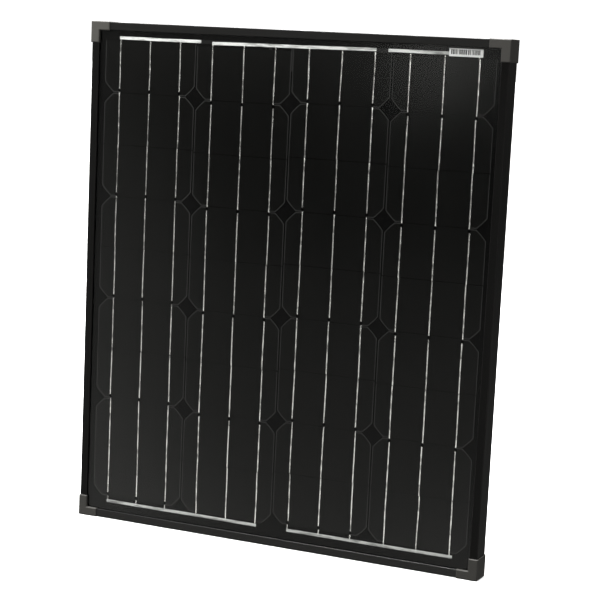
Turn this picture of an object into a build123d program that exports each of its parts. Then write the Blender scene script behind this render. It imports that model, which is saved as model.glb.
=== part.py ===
from build123d import *
import math
import os

# Framed solar panel, 36 half-cut monocrystalline cells in four series strings.
# +X is to the right of someone facing the glass, +Y from the glass to the back, +Z up. The origin
# is on the ground, below the panel's middle. All lengths are millimetres.
# Every piece is drawn with its heights measured from the middle of the frame and its depths
# measured back from the frame's front face; save() lifts it to stand on the corner caps.

# --- outer sizes -----------------------------------------------------------------------------
FRAME_WIDTH = 673.0
FRAME_HEIGHT = 780.0
FRAME_DEPTH = 35.0

# --- frame extrusion: "across" runs inwards from the outer face, "deep" back from the front ----
WALL = 1.6
LIP_WIDTH = 12.0
LIP_THICK = 2.2
CHANNEL_FLOOR = 9.8
CHAMBER_WIDTH = 10.0
CHAMBER_BACK = 24.0
FLANGE_WIDTH = 26.0
FLANGE_THICK = 1.8
HOLE_ACROSS = 15.0
MOUNT_SLOT_RADIUS = 4.5
MOUNT_SLOT_LENGTH = 14.0
MOUNT_SLOT_RISE = 210.0
EARTH_HOLE_RADIUS = 2.2
EARTH_HOLE_OFFSET = 200.0
DRAIN_HOLE_RADIUS = 2.5
DRAIN_HOLE_OFFSET = 250.0
DRAIN_HOLE_DEEP = 28.5

# --- corner keys and caps ----------------------------------------------------------------------
KEY_LEG = 42.0
KEY_CLEARANCE = 0.15
CAP_LEG = 32.5
CAP_SIDE = 1.6
CAP_END = 0.8
CAP_FACE = 2.0
CAP_CHAMFER = 1.2
CAP_SKIRT = 0.8
CAP_GLASS_GAP = 0.1

# --- laminate, as depths behind the frame's front face -----------------------------------------
LAMINATE_INSET = 3.0
GLASS_FRONT = 3.2
GLASS_BACK = 7.2
RIBBON_FRONT = 7.6
CELL_FRONT = 7.8
CELL_BACK = 8.0
RIBBON_BACK = 8.2
LEAD_BACK = 8.4
ENCAPSULANT_BACK = 8.8
BACKSHEET_BACK = 9.15
SEALANT_REACH = 11.4

# --- cells and ribbons -------------------------------------------------------------------------
STRINGS = 4
ROWS = 9
CELL_SIZE = 156.0
CELL_HALF = CELL_SIZE / 2
INGOT_RADIUS = 100.0
COLUMN_PITCH = 158.8
ROW_PITCH = 80.0
STRING_TOP = 362.7
STRING_SHIFTS = (0.8, -2.1, 1.9, -0.6)
RIBBON_PITCH = 52.0
RIBBON_WIDTH = 1.8
RIBBON_END_GAP = 2.2
RIBBON_JOG = 0.4

# --- bus bars ----------------------------------------------------------------------------------
BUS_WIDTH = 5.5
TOP_BUS_HEIGHT = 366.9
BOTTOM_BUS_HEIGHT = -363.9
TOP_BUSES = {"left": (-292.0, -151.5), "middle": (-132.3, 133.0), "right": (151.5, 295.0)}
BOTTOM_BUSES = {"left": (-291.5, -26.0), "right": (26.5, 295.0)}
LEAD_SPACING = 36.0
LEAD_START = 152.0
LEAD_TAIL_HEIGHT = 330.0

# --- labels ------------------------------------------------------------------------------------
SERIAL_LABEL = (244.0, 295.0, 363.5, 375.0)
RATING_LABEL = (-50.0, 50.0, 110.0, 170.0)
LABEL_THICK = 0.15

# --- junction box on the back ------------------------------------------------------------------
BOX_HALF_WIDTH = 59.0
BOX_BOTTOM = 262.0
BOX_TOP = 350.0
BOX_GLUE = 0.8
BOX_RIM = 28.0
BOX_WALL = 2.2
BOX_FLOOR = 2.0
GASKET_THICK = 0.5
GASKET_INSET = 0.4
LID_UNDERSIDE = 28.8
LID_THICK = 2.2
LID_RIB = 1.6
LID_RIB_GAP = 0.5
LID_RIB_REACH = 2.2
LID_GAP = 0.3
HINGE_HEIGHT = BOX_TOP + 4.5
HINGE_DEEP = 28.6
HINGE_RADIUS = 3.0
PIN_RADIUS = 1.5
PIN_RUNNING_CLEARANCE = 0.05
KNUCKLE_HALF = 17.6
LUG_INNER = 18.0
LUG_OUTER = 24.0
LUG_FOOT = 20.0
TAB_HALF = 9.0
TAB_FRONT = 20.0
TAB_THICK = 1.4
TAB_GAP = 1.2
CATCH_HALF = 7.0
CATCH_FRONT = 21.0
CATCH_DEEP = 3.0
CATCH_HEIGHT = 0.8

# --- terminals, diodes and cable glands --------------------------------------------------------
TERMINAL_TOP_DEEP = 15.45
TERMINAL_HALF_WIDTH = 7.0
TERMINAL_LOW = 298.0
TERMINAL_HIGH = 324.0
LEAD_SCREW_HEIGHT = 318.0
CABLE_SCREW_HEIGHT = 303.0
DIODE_HEIGHT = 309.5
DIODE_RADIUS = 2.7
DIODE_LENGTH = 9.0
DIODE_WIRE_RADIUS = 0.6
SCREW_RADIUS = 1.5
SCREW_HEAD_RADIUS = 3.0
SCREW_HEAD_THICK = 2.2
SCREW_SLOT_DEEP = 0.9
SCREW_SLOT_HALF = 0.4
SCREW_CLEARANCE = 0.05
GLAND_DEEP = 18.8
GLAND_THREAD_RADIUS = 5.8
GLAND_BORE_RADIUS = 4.0
GLAND_HEX_FLATS = 15.0
GLAND_HEX_THICK = 4.0
GLAND_BARREL = 8.0
GLAND_NUT_LENGTH = 16.0
LOCKNUT_FLATS = 13.4
LOCKNUT_THICK = 4.0
CABLE_RADIUS = 3.0

HALF_W = FRAME_WIDTH / 2
HALF_H = FRAME_HEIGHT / 2


def y_at(deep):
    """Y of a depth measured back from the frame's front face."""
    return deep - FRAME_DEPTH / 2


def block(x0, x1, deep0, deep1, z0, z1):
    """Box between two corners, with its Y given as depths behind the front face."""
    centre = ((x0 + x1) / 2, y_at((deep0 + deep1) / 2), (z0 + z1) / 2)
    return Pos(*centre) * Box(x1 - x0, deep1 - deep0, z1 - z0)


def rod_x(x0, x1, deep, z, radius):
    """Cylinder along X."""
    return Pos((x0 + x1) / 2, y_at(deep), z) * Rot(0, 90, 0) * Cylinder(radius, x1 - x0)


def rod_y(x, z, deep0, deep1, radius):
    """Cylinder along Y."""
    return Pos(x, y_at((deep0 + deep1) / 2), z) * Rot(90, 0, 0) * Cylinder(radius, deep1 - deep0)


def rod_z(x, deep, z0, z1, radius):
    """Cylinder along Z."""
    return Pos(x, y_at(deep), (z0 + z1) / 2) * Cylinder(radius, z1 - z0)


def hexagon_z(x, deep, z0, z1, flats):
    """Hexagonal prism along Z, flats apart across the flats."""
    face = RegularPolygon(flats / math.sqrt(3), 6)
    return Pos(x, y_at(deep), z0) * extrude(face, z1 - z0)


def upright_plate(points, deep0, deep1):
    """Polygon of (x, z) points, made solid between two depths."""
    outline = Polyline(*[(x, y_at(deep0), z) for x, z in points], close=True)
    return extrude(make_face(outline), deep1 - deep0, dir=(0, 1, 0))


def save(name, shape):
    """Write one node's STEP file; a list becomes a group of separate solids."""
    if isinstance(shape, list):
        shape = Compound(children=shape)
    export_step(Pos(0, 0, HALF_H + CAP_END) * shape, f"parts/{name}.step")


# --- frame ---------------------------------------------------------------------------------------

def rail_profile():
    """Closed section of the extrusion as a face in the YZ plane, outer face at Z = 0."""
    outline = [
        (0, 0), (LIP_WIDTH, 0), (LIP_WIDTH, LIP_THICK), (WALL, LIP_THICK),
        (WALL, CHANNEL_FLOOR), (CHAMBER_WIDTH, CHANNEL_FLOOR), (CHAMBER_WIDTH, CHAMBER_BACK),
        (WALL, CHAMBER_BACK), (WALL, FRAME_DEPTH - FLANGE_THICK),
        (FLANGE_WIDTH, FRAME_DEPTH - FLANGE_THICK), (FLANGE_WIDTH, FRAME_DEPTH), (0, FRAME_DEPTH),
    ]
    chamber = [
        (WALL, CHANNEL_FLOOR + WALL), (CHAMBER_WIDTH - WALL, CHANNEL_FLOOR + WALL),
        (CHAMBER_WIDTH - WALL, CHAMBER_BACK - WALL), (WALL, CHAMBER_BACK - WALL),
    ]
    faces = []
    for points in (outline, chamber):
        faces.append(make_face(Polyline(*[(0, y_at(v), u) for u, v in points], close=True)))
    return faces[0] - faces[1]


def rail(length):
    """Mitred rail along X, centred, outer face at Z = 0 and inside towards +Z."""
    half = length / 2
    bar = extrude(Pos(-half, 0, 0) * rail_profile(), length, dir=(1, 0, 0))
    mitre = upright_plate(
        [(-half, 0), (half, 0), (half - FLANGE_WIDTH, FLANGE_WIDTH),
         (-half + FLANGE_WIDTH, FLANGE_WIDTH)], 0, FRAME_DEPTH)
    return bar & mitre


def flange_hole(along, radius, length):
    """Cutter for a hole or slot in the rear flange of a rail that lies as rail() makes it."""
    front = FRAME_DEPTH - FLANGE_THICK - 1
    back = FRAME_DEPTH + 1
    travel = length / 2 - radius
    if travel == 0:
        return rod_y(along, HOLE_ACROSS, front, back, radius)
    slot = block(along - travel, along + travel, front, back, HOLE_ACROSS - radius, HOLE_ACROSS + radius)
    for end in (along - travel, along + travel):
        slot += rod_y(end, HOLE_ACROSS, front, back, radius)
    return slot


def make_frame():
    side = rail(FRAME_HEIGHT)
    for rise in (-MOUNT_SLOT_RISE, MOUNT_SLOT_RISE):
        side -= flange_hole(rise, MOUNT_SLOT_RADIUS, MOUNT_SLOT_LENGTH)
    end = rail(FRAME_WIDTH)
    bottom = end
    for offset in (-EARTH_HOLE_OFFSET, EARTH_HOLE_OFFSET):
        bottom -= flange_hole(offset, EARTH_HOLE_RADIUS, 2 * EARTH_HOLE_RADIUS)
    for offset in (-DRAIN_HOLE_OFFSET, DRAIN_HOLE_OFFSET):
        bottom -= rod_z(offset, DRAIN_HOLE_DEEP, -1, WALL + 1, DRAIN_HOLE_RADIUS)
    save("frame_top", Pos(0, 0, HALF_H) * Rot(0, 180, 0) * end)
    save("frame_bottom", Pos(0, 0, -HALF_H) * bottom)
    save("frame_left", Pos(-HALF_W, 0, 0) * Rot(0, 90, 0) * side)
    save("frame_right", Pos(HALF_W, 0, 0) * Rot(0, -90, 0) * side)


def four_corners(name, shape):
    """Save a bottom left corner piece and its three mirror images."""
    right = mirror(shape, about=Plane.YZ)
    save(f"{name}_bottom_left", shape)
    save(f"{name}_bottom_right", right)
    save(f"{name}_top_left", mirror(shape, about=Plane.XY))
    save(f"{name}_top_right", mirror(right, about=Plane.XY))


def corner_l(x0, z0, leg, width_x, width_z, deep0, deep1):
    """L-shaped plate in the XZ plane with its outer corner at x0, z0."""
    points = [
        (x0, z0), (x0 + leg, z0), (x0 + leg, z0 + width_z), (x0 + width_x, z0 + width_z),
        (x0 + width_x, z0 + leg), (x0, z0 + leg),
    ]
    return upright_plate(points, deep0, deep1)


def make_corner_keys():
    inset = WALL + KEY_CLEARANCE
    width = CHAMBER_WIDTH - 2 * inset
    deep0 = CHANNEL_FLOOR + inset
    deep1 = CHAMBER_BACK - inset
    four_corners("corner_key", corner_l(inset - HALF_W, inset - HALF_H, KEY_LEG, width, width, deep0, deep1))


def make_corner_caps():
    """Moulded cap that wraps the lip, the two outer faces and the flange of a frame corner."""
    x0 = -HALF_W - CAP_SIDE
    z0 = -HALF_H - CAP_END
    width_x = CAP_SIDE + LIP_WIDTH + CAP_SKIRT
    width_z = CAP_END + LIP_WIDTH + CAP_SKIRT
    back = FRAME_DEPTH + CAP_FACE
    cap = corner_l(x0, z0, CAP_LEG, width_x, width_z, -CAP_FACE, back)
    cap -= block(-HALF_W, HALF_W, 0, FRAME_DEPTH, -HALF_H, HALF_H)
    cap += corner_l(x0, z0, CAP_LEG, width_x, width_z, -CAP_FACE, GLASS_FRONT - CAP_GLASS_GAP)
    cap -= corner_l(-HALF_W, -HALF_H, 2 * CAP_LEG, LIP_WIDTH, LIP_WIDTH, 0, GLASS_FRONT)
    for face_deep in (-CAP_FACE, back):
        rim = cap.faces().sort_by(Axis.Y)[0 if face_deep < 0 else -1].outer_wire().edges()
        cap = chamfer(rim, CAP_CHAMFER)
    four_corners("corner_cap", cap)


# --- laminate ------------------------------------------------------------------------------------

def laminate_sheet(deep0, deep1):
    """One layer of the laminate, over its whole outline."""
    x = HALF_W - LAMINATE_INSET
    z = HALF_H - LAMINATE_INSET
    return block(-x, x, deep0, deep1, -z, z)


def half_cell():
    """Half wafer with its cut edge on Z = 0 and its two rounded corners towards +Z."""
    wafer = block(-CELL_HALF, CELL_HALF, CELL_FRONT, CELL_BACK, 0, CELL_HALF)
    return wafer & rod_y(0, 0, CELL_FRONT, CELL_BACK, INGOT_RADIUS)


def string_x(index):
    return (index - (STRINGS - 1) / 2) * COLUMN_PITCH


def row_edges(index, row):
    """Bottom and top height of a cell; row 0 is the top one."""
    gap = (ROW_PITCH - CELL_HALF) / 2
    top = STRING_TOP + STRING_SHIFTS[index] - row * ROW_PITCH - gap
    return top - CELL_HALF, top


def make_cells():
    """Rows alternate: cut edge up, then cut edge down, so that rounded corners meet in pairs."""
    upward = half_cell()
    downward = mirror(upward, about=Plane.XY)
    for index in range(STRINGS):
        cells = []
        for row in range(ROWS):
            low, high = row_edges(index, row)
            if row % 2 == 0:
                cells.append(Pos(string_x(index), 0, high) * downward)
            else:
                cells.append(Pos(string_x(index), 0, low) * upward)
        save(f"cell_string_{index + 1}", cells)


def ribbon_piece(x, front, rear, jog):
    """Flat wire: a stretch on the glass side, a stretch behind, and the step between them at jog."""
    half = RIBBON_WIDTH / 2
    piece = block(x - half, x + half, RIBBON_FRONT, CELL_FRONT, *front)
    if rear is None:
        return piece
    piece += block(x - half, x + half, CELL_BACK, RIBBON_BACK, *rear)
    low = jog - RIBBON_JOG / 2
    return piece + block(x - half, x + half, RIBBON_FRONT, RIBBON_BACK, low, low + RIBBON_JOG)


def series_ribbons(index, x):
    """All flat wires on one line of a string, from the top bus to the bottom bus."""
    bus_low = TOP_BUS_HEIGHT - BUS_WIDTH / 2
    bus_high = BOTTOM_BUS_HEIGHT + BUS_WIDTH / 2
    first_low, first_high = row_edges(index, 0)
    last_low, last_high = row_edges(index, ROWS - 1)
    front_joins_top = index % 2 == 0
    pieces = []
    for row in range(ROWS - 1):
        upper = row_edges(index, row)
        lower = row_edges(index, row + 1)
        jog = (upper[0] + lower[1]) / 2
        if front_joins_top:
            front = (lower[0] + RIBBON_END_GAP, jog)
            rear = (jog, upper[1] - RIBBON_END_GAP)
        else:
            front = (jog, upper[1] - RIBBON_END_GAP)
            rear = (lower[0] + RIBBON_END_GAP, jog)
        pieces.append(ribbon_piece(x, front, rear, jog))
    if front_joins_top:
        jog = (last_low + bus_high) / 2
        pieces.append(ribbon_piece(x, (first_low + RIBBON_END_GAP, bus_low), None, None))
        pieces.append(ribbon_piece(x, (bus_high, jog), (jog, last_high - RIBBON_END_GAP), jog))
    else:
        jog = (first_high + bus_low) / 2
        pieces.append(ribbon_piece(x, (bus_high, last_high - RIBBON_END_GAP), None, None))
        pieces.append(ribbon_piece(x, (jog, bus_low), (first_low + RIBBON_END_GAP, jog), jog))
    return pieces


def make_ribbons():
    for index in range(STRINGS):
        pieces = []
        for line in (-1, 0, 1):
            pieces += series_ribbons(index, string_x(index) + line * RIBBON_PITCH)
        save(f"ribbons_string_{index + 1}", pieces)


def make_buses():
    half = BUS_WIDTH / 2
    for side, (x0, x1) in TOP_BUSES.items():
        z = TOP_BUS_HEIGHT
        save(f"top_bus_{side}", block(x0, x1, RIBBON_FRONT, CELL_FRONT, z - half, z + half))
    for side, (x0, x1) in BOTTOM_BUSES.items():
        z = BOTTOM_BUS_HEIGHT
        save(f"bottom_bus_{side}", block(x0, x1, RIBBON_FRONT, CELL_FRONT, z - half, z + half))


def lead_out(side):
    """Strip from a top bus, behind the cells, through the backsheet and onto its terminal."""
    half = BUS_WIDTH / 2
    z = TOP_BUS_HEIGHT
    x = side * LEAD_SPACING
    start = side * (LEAD_START + half)
    strip = block(start - half, start + half, CELL_FRONT, LEAD_BACK, z - half, z + half)
    strip += block(min(start, x) - half, max(start, x) + half, RIBBON_BACK, LEAD_BACK, z - half, z + half)
    strip += block(x - half, x + half, RIBBON_BACK, LEAD_BACK, LEAD_TAIL_HEIGHT, z + half)
    tail_deep = TERMINAL_TOP_DEEP + LEAD_BACK - RIBBON_BACK
    thick = LEAD_BACK - RIBBON_BACK
    strip += block(x - half, x + half, RIBBON_BACK, tail_deep, LEAD_TAIL_HEIGHT, LEAD_TAIL_HEIGHT + thick)
    foot = LEAD_SCREW_HEIGHT - SCREW_HEAD_RADIUS - 1
    strip += block(x - half, x + half, TERMINAL_TOP_DEEP, tail_deep, foot, LEAD_TAIL_HEIGHT + thick)
    hole = SCREW_RADIUS + SCREW_CLEARANCE
    return strip - rod_y(x, LEAD_SCREW_HEIGHT, TERMINAL_TOP_DEEP - 1, tail_deep + 1, hole)


def make_laminate():
    """Glass, the two encapsulant layers, the lead-outs, the backsheet and the front label."""
    leads = {"left": lead_out(-1), "middle": lead_out(0), "right": lead_out(1)}
    for side, lead in leads.items():
        save(f"lead_out_{side}", lead)
    x0, x1, z0, z1 = SERIAL_LABEL
    label = block(x0, x1, RIBBON_FRONT - LABEL_THICK, RIBBON_FRONT, z0, z1)
    rear = laminate_sheet(RIBBON_BACK, ENCAPSULANT_BACK)
    sheet = laminate_sheet(ENCAPSULANT_BACK, BACKSHEET_BACK)
    for lead in leads.values():
        rear -= lead
        sheet -= lead
    save("serial_label", label)
    save("glass", laminate_sheet(GLASS_FRONT, GLASS_BACK))
    save("front_encapsulant", laminate_sheet(GLASS_BACK, RIBBON_FRONT) - label)
    save("rear_encapsulant", rear)
    save("backsheet", sheet)


def bead(outer, inner, deep0, deep1):
    """Rectangular ring whose outer and inner edges are these distances in from the frame's faces."""
    ring = block(outer - HALF_W, HALF_W - outer, deep0, deep1, outer - HALF_H, HALF_H - outer)
    return ring - block(inner - HALF_W, HALF_W - inner, deep0, deep1, inner - HALF_H, HALF_H - inner)


def make_sealant():
    """Silicone that fills the frame's channel in front of, round and behind the laminate's edge."""
    sealant = bead(WALL, SEALANT_REACH, LIP_THICK, GLASS_FRONT)
    sealant += bead(WALL, LAMINATE_INSET, GLASS_FRONT, BACKSHEET_BACK)
    sealant += bead(WALL, CHAMBER_WIDTH, BACKSHEET_BACK, CHANNEL_FLOOR)
    save("edge_sealant", sealant)


def make_rating_label():
    x0, x1, z0, z1 = RATING_LABEL
    save("rating_label", block(x0, x1, BACKSHEET_BACK, BACKSHEET_BACK + LABEL_THICK, z0, z1))


# --- junction box --------------------------------------------------------------------------------

def lead_window(deep0, deep1):
    """Opening that the three lead-outs come through."""
    x = LEAD_SPACING + BUS_WIDTH
    return block(-x, x, deep0, deep1, LEAD_TAIL_HEIGHT - 3, LEAD_TAIL_HEIGHT + 5)


def hinge_lug(x0, x1):
    """Ear on the box's top wall that holds one end of the hinge pin."""
    points = [
        (LUG_FOOT, BOX_TOP), (BOX_RIM, BOX_TOP), (BOX_RIM, HINGE_HEIGHT),
        (HINGE_DEEP - HINGE_RADIUS, HINGE_HEIGHT),
    ]
    outline = Polyline(*[(x0, y_at(v), z) for v, z in points], close=True)
    lug = extrude(make_face(outline), x1 - x0, dir=(1, 0, 0))
    lug += rod_x(x0, x1, HINGE_DEEP, HINGE_HEIGHT, HINGE_RADIUS)
    return lug - rod_x(x0 - 1, x1 + 1, HINGE_DEEP, HINGE_HEIGHT, PIN_RADIUS + 0.02)


def make_box_base():
    floor_deep = BACKSHEET_BACK + BOX_GLUE
    w = BOX_HALF_WIDTH
    glue = block(-w + 1, w - 1, BACKSHEET_BACK, floor_deep, BOX_BOTTOM + 1, BOX_TOP - 1)
    save("box_adhesive", glue - lead_window(BACKSHEET_BACK, floor_deep))
    base = block(-w, w, floor_deep, BOX_RIM, BOX_BOTTOM, BOX_TOP)
    inner = w - BOX_WALL
    base -= block(-inner, inner, floor_deep + BOX_FLOOR, BOX_RIM, BOX_BOTTOM + BOX_WALL, BOX_TOP - BOX_WALL)
    base -= lead_window(floor_deep, floor_deep + BOX_FLOOR)
    base += hinge_lug(LUG_INNER, LUG_OUTER)
    base += hinge_lug(-LUG_OUTER, -LUG_INNER)
    for x in (-LEAD_SPACING, LEAD_SPACING):
        base -= rod_z(x, GLAND_DEEP, BOX_BOTTOM - 1, BOX_BOTTOM + BOX_WALL + 1, GLAND_THREAD_RADIUS + 0.1)
    catch_back = CATCH_FRONT + CATCH_DEEP
    base += block(-CATCH_HALF, CATCH_HALF, CATCH_FRONT, catch_back, BOX_BOTTOM - CATCH_HEIGHT, BOX_BOTTOM)
    save("junction_box", base)
    top = BOX_RIM + GASKET_THICK
    out = w - GASKET_INSET
    hole = inner + GASKET_INSET
    gasket = block(-out, out, BOX_RIM, top, BOX_BOTTOM + GASKET_INSET, BOX_TOP - GASKET_INSET)
    low = BOX_BOTTOM + BOX_WALL - GASKET_INSET
    save("box_gasket", gasket - block(-hole, hole, BOX_RIM, top, low, BOX_TOP - BOX_WALL + GASKET_INSET))


def make_box_lid():
    """Lid with a labyrinth rib, a hinge knuckle on its top edge and a finger tab below."""
    w = BOX_HALF_WIDTH
    back = LID_UNDERSIDE + LID_THICK
    lid = block(-w, w, LID_UNDERSIDE, back, BOX_BOTTOM, BOX_TOP - LID_GAP)
    outer = w - BOX_WALL - LID_RIB_GAP
    low = BOX_BOTTOM + BOX_WALL + LID_RIB_GAP
    high = BOX_TOP - BOX_WALL - LID_RIB_GAP
    rib_front = BOX_RIM - LID_RIB_REACH
    lid += block(-outer, outer, rib_front, LID_UNDERSIDE, low, high)
    inner = outer - LID_RIB
    lid -= block(-inner, inner, rib_front, LID_UNDERSIDE, low + LID_RIB, high - LID_RIB)
    lid += block(-KNUCKLE_HALF, KNUCKLE_HALF, LID_UNDERSIDE, back, BOX_TOP - 5, HINGE_HEIGHT)
    lid += rod_x(-KNUCKLE_HALF, KNUCKLE_HALF, HINGE_DEEP, HINGE_HEIGHT, HINGE_RADIUS)
    lid -= rod_x(
        -KNUCKLE_HALF - 1, KNUCKLE_HALF + 1, HINGE_DEEP, HINGE_HEIGHT, PIN_RADIUS + PIN_RUNNING_CLEARANCE)
    tab_low = BOX_BOTTOM - TAB_GAP - TAB_THICK
    lid += block(-TAB_HALF, TAB_HALF, TAB_FRONT, back, tab_low, BOX_BOTTOM - TAB_GAP)
    lid += block(-TAB_HALF, TAB_HALF, LID_UNDERSIDE, back, tab_low, BOX_BOTTOM)
    save("box_lid", lid)
    save("lid_hinge_pin", rod_x(-LUG_OUTER, LUG_OUTER, HINGE_DEEP, HINGE_HEIGHT, PIN_RADIUS))


def screw(x, z, seat_deep, tip_deep):
    """Slotted cheese-head screw along Y, head towards the back."""
    head = rod_y(x, z, seat_deep, seat_deep + SCREW_HEAD_THICK, SCREW_HEAD_RADIUS)
    top = seat_deep + SCREW_HEAD_THICK
    reach = SCREW_HEAD_RADIUS + 1
    head -= block(x - reach, x + reach, top - SCREW_SLOT_DEEP, top, z - SCREW_SLOT_HALF, z + SCREW_SLOT_HALF)
    return head + rod_y(x, z, tip_deep, seat_deep, SCREW_RADIUS)


def make_terminals():
    """Three tinned brass blocks on the floor, their screws, and the two diodes between them."""
    floor_deep = BACKSHEET_BACK + BOX_GLUE + BOX_FLOOR
    lead_thick = LEAD_BACK - RIBBON_BACK
    screws = []
    for side, name in ((-1, "left"), (0, "middle"), (1, "right")):
        x = side * LEAD_SPACING
        terminal = block(
            x - TERMINAL_HALF_WIDTH, x + TERMINAL_HALF_WIDTH, floor_deep, TERMINAL_TOP_DEEP,
            TERMINAL_LOW, TERMINAL_HIGH)
        for z in (LEAD_SCREW_HEIGHT, CABLE_SCREW_HEIGHT):
            terminal -= rod_y(x, z, floor_deep, TERMINAL_TOP_DEEP, SCREW_RADIUS + SCREW_CLEARANCE)
        save(f"terminal_{name}", terminal)
        screws.append(screw(x, LEAD_SCREW_HEIGHT, TERMINAL_TOP_DEEP + lead_thick, floor_deep + 0.3))
        screws.append(screw(x, CABLE_SCREW_HEIGHT, TERMINAL_TOP_DEEP, floor_deep + 0.3))
    save("terminal_screws", screws)
    wire_deep = TERMINAL_TOP_DEEP + DIODE_WIRE_RADIUS
    for side, name in ((-0.5, "left"), (0.5, "right")):
        x = side * LEAD_SPACING
        reach = LEAD_SPACING / 2 - 3.5
        diode = rod_x(x - reach, x + reach, wire_deep, DIODE_HEIGHT, DIODE_WIRE_RADIUS)
        diode += rod_x(x - DIODE_LENGTH / 2, x + DIODE_LENGTH / 2, wire_deep, DIODE_HEIGHT, DIODE_RADIUS)
        save(f"bypass_diode_{name}", diode)


def make_glands():
    """Two cable glands in the box's bottom wall, each with its nut, seal and lock nut."""
    hex_low = BOX_BOTTOM - GLAND_HEX_THICK
    barrel_low = hex_low - GLAND_BARREL
    nut_high = hex_low - LID_GAP
    nut_low = nut_high - GLAND_NUT_LENGTH
    inside = BOX_BOTTOM + BOX_WALL
    locknuts = []
    for x, name in ((-LEAD_SPACING, "left"), (LEAD_SPACING, "right")):
        body = hexagon_z(x, GLAND_DEEP, hex_low, BOX_BOTTOM, GLAND_HEX_FLATS)
        body += rod_z(x, GLAND_DEEP, barrel_low, inside + 5, GLAND_THREAD_RADIUS)
        body -= rod_z(x, GLAND_DEEP, barrel_low, inside + 5, GLAND_BORE_RADIUS)
        save(f"gland_body_{name}", body)
        nut = hexagon_z(x, GLAND_DEEP, nut_high - 8, nut_high, GLAND_HEX_FLATS)
        nut += rod_z(x, GLAND_DEEP, nut_low, nut_high - 8, GLAND_HEX_FLATS / 2)
        nut -= rod_z(x, GLAND_DEEP, nut_low + 1.5, nut_high, GLAND_THREAD_RADIUS + 0.1)
        nut -= rod_z(x, GLAND_DEEP, nut_low, nut_low + 1.5, GLAND_BORE_RADIUS + 0.5)
        save(f"gland_nut_{name}", nut)
        seal = rod_z(x, GLAND_DEEP, nut_low + 1.5, barrel_low, GLAND_THREAD_RADIUS)
        save(f"gland_seal_{name}", seal - rod_z(x, GLAND_DEEP, nut_low + 1.5, barrel_low, CABLE_RADIUS))
        locknut = hexagon_z(x, GLAND_DEEP, inside, inside + LOCKNUT_THICK, LOCKNUT_FLATS)
        hole = rod_z(x, GLAND_DEEP, inside, inside + LOCKNUT_THICK, GLAND_THREAD_RADIUS + 0.05)
        locknuts.append(locknut - hole)
    save("gland_locknuts", locknuts)


def main():
    os.makedirs("parts", exist_ok=True)
    make_frame()
    make_corner_keys()
    make_corner_caps()
    make_cells()
    make_ribbons()
    make_buses()
    make_laminate()
    make_sealant()
    make_rating_label()
    make_box_base()
    make_box_lid()
    make_terminals()
    make_glands()


main()
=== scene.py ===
import math
import random

import bmesh
import bpy
from mathutils import Matrix, Vector


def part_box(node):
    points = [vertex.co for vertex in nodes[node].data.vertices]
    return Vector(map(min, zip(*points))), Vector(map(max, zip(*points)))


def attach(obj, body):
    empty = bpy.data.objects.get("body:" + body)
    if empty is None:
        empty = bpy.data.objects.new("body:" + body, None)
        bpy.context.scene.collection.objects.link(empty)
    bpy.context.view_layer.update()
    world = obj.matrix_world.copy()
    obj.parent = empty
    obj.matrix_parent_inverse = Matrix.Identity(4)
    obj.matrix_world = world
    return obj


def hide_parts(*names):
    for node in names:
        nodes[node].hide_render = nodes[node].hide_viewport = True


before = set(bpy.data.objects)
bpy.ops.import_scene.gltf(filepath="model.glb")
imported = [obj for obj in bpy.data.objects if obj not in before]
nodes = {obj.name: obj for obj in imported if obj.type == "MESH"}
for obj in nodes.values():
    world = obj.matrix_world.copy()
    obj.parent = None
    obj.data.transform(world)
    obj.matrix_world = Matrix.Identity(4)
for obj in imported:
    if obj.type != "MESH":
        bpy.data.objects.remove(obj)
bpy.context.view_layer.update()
random.seed(7)

# Lengths are millimetres and angles degrees unless a comment says otherwise; MM turns millimetres
# into metres.
MM = 0.001

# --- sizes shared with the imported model; depths are measured behind the frame's front -------------
ROWS = 9
STRINGS = 4
LINES = (-1, 0, 1)
CORNERS = ("bottom_left", "bottom_right", "top_left", "top_right")
CELL_SIZE = 156.0
CELL_HALF = 78.0
INGOT_RADIUS = 100.0
ROW_PITCH = 80.0
RIBBON_PITCH = 52.0
GLASS_REAR = 7.4
LABEL_FRONT = 7.45
RIBBON_FRONT = 7.6
CELL_FRONT = 7.8
CELL_BACK = 8.0
RIBBON_BACK = 8.2

# --- clean-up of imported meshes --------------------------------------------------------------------
WELD = 0.002
SAME_PLANE = 0.01
FLAT_ANGLE = 1.0
HARD_ANGLE = 30.0

# --- rounding of edges; a rail's front edges are rounded more than its other long ones ------------
RAIL_FRONT_ROUND = 1.1
RAIL_ROUND = 0.25
RAIL_LONG_EDGE = 60.0
CAP_ROUND = 0.35
GLASS_ROUND = 0.5
BOX_ROUND = 0.5
GLAND_BODY_ROUND = 0.3
GLAND_NUT_ROUND = 0.4

# --- share of light that the glass mirrors when it is seen straight on ----------------------------
GLASS_MIRROR = 0.034

# --- cells: the bare border's width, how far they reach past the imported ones, and their tones -----
CELL_BORDER = 1.2
CELL_GROWTH = 0.3
CELL_CORNER_STEPS = 6
CELL_TONES = (0.35, 1.0)
TONE_LAYER = "shade"
SILICON_DARK = (0.0009, 0.0009, 0.0008)

# --- round clearings in the cells' print, on each rounded edge ------------------------------------
CLEARING_FRONT = 7.78
CLEARING_RADIUS = 2.4
CLEARING_SLOPE = 0.1
CLEARING_INSET = 2.9
CLEARING_STEPS = 16

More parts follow.
